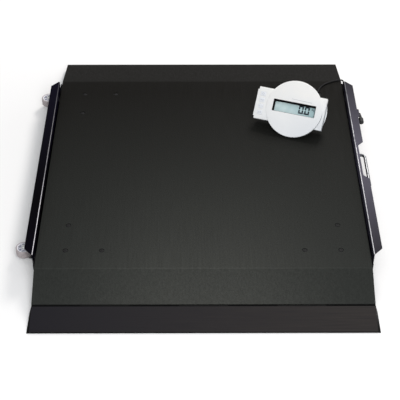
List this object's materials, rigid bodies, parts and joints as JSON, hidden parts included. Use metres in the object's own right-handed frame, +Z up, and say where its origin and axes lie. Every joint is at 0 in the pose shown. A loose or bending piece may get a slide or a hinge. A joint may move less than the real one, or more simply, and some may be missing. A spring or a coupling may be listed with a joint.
{
  "type": "wheelchair platform scale",
  "caption": "Low platform scale with a mat, front and rear slopes, side rails, bow handle, transport castors and a tilted remote display on a cable.",
  "frame": {"origin": "middle of the whole object's base, on the floor, measured without the free cable", "axes": "+X to the right as seen from the front ramp, +Y to the rear, +Z up"},
  "size_m": [0.9265, 1.06, 0.1736],
  "materials": {
    "mat_rubber": "fine matt texture",
    "plate_paint": "satin powder coat",
    "frame_paint": "satin powder coat",
    "screw_steel": "zinc plated",
    "cell_aluminium": "machined",
    "foot_steel": "turned",
    "foot_rubber": "matt",
    "rail_left_paint": "smooth satin paint",
    "rail_right_paint": "smooth satin paint",
    "handle_chrome": "polished",
    "castor_steel": "zinc plated",
    "castor_wheel": "moulded",
    "castor_tread": "smooth grey rubber",
    "ramp_paint": "smooth semi-gloss paint",
    "hinge_steel": "rolled",
    "box_plastic": "moulded",
    "circuit_green": "solder resist",
    "connector_plastic": "moulded",
    "display_white": "moulded, low gloss",
    "key_membrane": "satin",
    "bezel_black": "matt",
    "lcd_glass": "smooth",
    "battery_blue": "shrink sleeve",
    "cable_black": "smooth sheath",
    "tie_fabric": "hook and loop"
  },
  "bodies": {
    "platform": {"mat": "mat_rubber", "top_plate": "plate_paint", "rail_left": "rail_left_paint", "rail_right": "rail_right_paint", "handle": "handle_chrome", "ramp_hinge": "hinge_steel", "ramp_pin": "hinge_steel", "junction_box": "box_plastic", "junction_lid": "box_plastic", "junction_board": "circuit_green", "cable_socket": "connector_plastic", "cable_plug": "connector_plastic", "dial_cover": "display_white", "display_front": "display_white", "display_back": "display_white", "lcd_bezel": "bezel_black", "lcd_panel": "lcd_glass", "display_board": "circuit_green", "battery_pack": "battery_blue", "cable_gland": "connector_plastic", "display_cable": "cable_black", "cable_coil": "cable_black", "cable_tail": "cable_black", "cable_tie": "tie_fabric", "side_beam_left": "frame_paint", "side_beam_right": "frame_paint", "cross_beam_front": "frame_paint", "cross_beam_middle": "frame_paint", "cross_beam_rear": "frame_paint", "corner_plate_front_left": "screw_steel", "load_cell_front_left": "cell_aluminium", "corner_plate_front_right": "screw_steel", "load_cell_front_right": "cell_aluminium", "corner_plate_rear_left": "screw_steel", "load_cell_rear_left": "cell_aluminium", "corner_plate_rear_right": "screw_steel", "load_cell_rear_right": "cell_aluminium", "castor_bracket_front": "castor_steel", "castor_axle_front": "castor_steel", "castor_bracket_rear": "castor_steel", "castor_axle_rear": "castor_steel"},
    "foot_front_left_unit": {"foot_front_left": "foot_steel", "foot_pad_front_left": "foot_rubber"},
    "foot_front_right_unit": {"foot_front_right": "foot_steel", "foot_pad_front_right": "foot_rubber"},
    "foot_rear_left_unit": {"foot_rear_left": "foot_steel", "foot_pad_rear_left": "foot_rubber"},
    "foot_rear_right_unit": {"foot_rear_right": "foot_steel", "foot_pad_rear_right": "foot_rubber"},
    "ramp": {"ramp_flap": "ramp_paint"},
    "castor_front": {"castor_wheel_front": "castor_wheel", "castor_tyre_front": "castor_tread"},
    "castor_rear": {"castor_wheel_rear": "castor_wheel", "castor_tyre_rear": "castor_tread"},
    "key_power_cap": {"key_power": "key_membrane"},
    "key_tare_cap": {"key_tare": "key_membrane"},
    "key_hold_cap": {"key_hold": "key_membrane"},
    "key_units_cap": {"key_units": "key_membrane"},
    "stand": {"display_stand": "display_white"},
    "battery_door": {"battery_cover": "display_white"}
  },
  "joints": [
    {"name": "foot_front_left_height", "type": "slide", "parent": "platform", "child": "foot_front_left_unit", "axis": [0, 0, -1], "range_m": [-0.002, 0.006]},
    {"name": "foot_front_right_height", "type": "slide", "parent": "platform", "child": "foot_front_right_unit", "axis": [0, 0, -1], "range_m": [-0.002, 0.006]},
    {"name": "foot_rear_left_height", "type": "slide", "parent": "platform", "child": "foot_rear_left_unit", "axis": [0, 0, -1], "range_m": [-0.002, 0.006]},
    {"name": "foot_rear_right_height", "type": "slide", "parent": "platform", "child": "foot_rear_right_unit", "axis": [0, 0, -1], "range_m": [-0.002, 0.006]},
    {"name": "ramp_fold", "type": "hinge", "parent": "platform", "child": "ramp", "pos_m": [0.01, -0.46095, 0.0195], "axis": [-1, 0, 0], "range_deg": [0, 110]},
    {"name": "castor_front_roll", "type": "hinge", "parent": "platform", "child": "castor_front", "pos_m": [-0.4375, -0.27875, 0.0255], "axis": [0, 0, 1], "continuous": true},
    {"name": "castor_rear_roll", "type": "hinge", "parent": "platform", "child": "castor_rear", "pos_m": [-0.4375, 0.34125, 0.0255], "axis": [0, 0, 1], "continuous": true},
    {"name": "key_power_press", "type": "slide", "parent": "platform", "child": "key_power_cap", "axis": [0.2228, 0.6776, -0.7009], "range_m": [0, 0.001], "stiffness_N_per_m": 600, "springref_m": -0.001},
    {"name": "key_tare_press", "type": "slide", "parent": "platform", "child": "key_tare_cap", "axis": [0.2228, 0.6776, -0.7009], "range_m": [0, 0.001], "stiffness_N_per_m": 600, "springref_m": -0.001},
    {"name": "key_hold_press", "type": "slide", "parent": "platform", "child": "key_hold_cap", "axis": [0.2228, 0.6776, -0.7009], "range_m": [0, 0.001], "stiffness_N_per_m": 600, "springref_m": -0.001},
    {"name": "key_units_press", "type": "slide", "parent": "platform", "child": "key_units_cap", "axis": [0.2228, 0.6776, -0.7009], "range_m": [0, 0.001], "stiffness_N_per_m": 600, "springref_m": -0.001},
    {"name": "stand_fold", "type": "hinge", "parent": "platform", "child": "stand", "pos_m": [0.27916, 0.2272, 0.10895], "axis": [0.95, -0.3123, 0], "range_deg": [-44, 0]},
    {"name": "battery_cover_slide", "type": "slide", "parent": "platform", "child": "battery_door", "axis": [-0.95, 0.3123, 0], "range_m": [0, 0.012]}
  ]
}
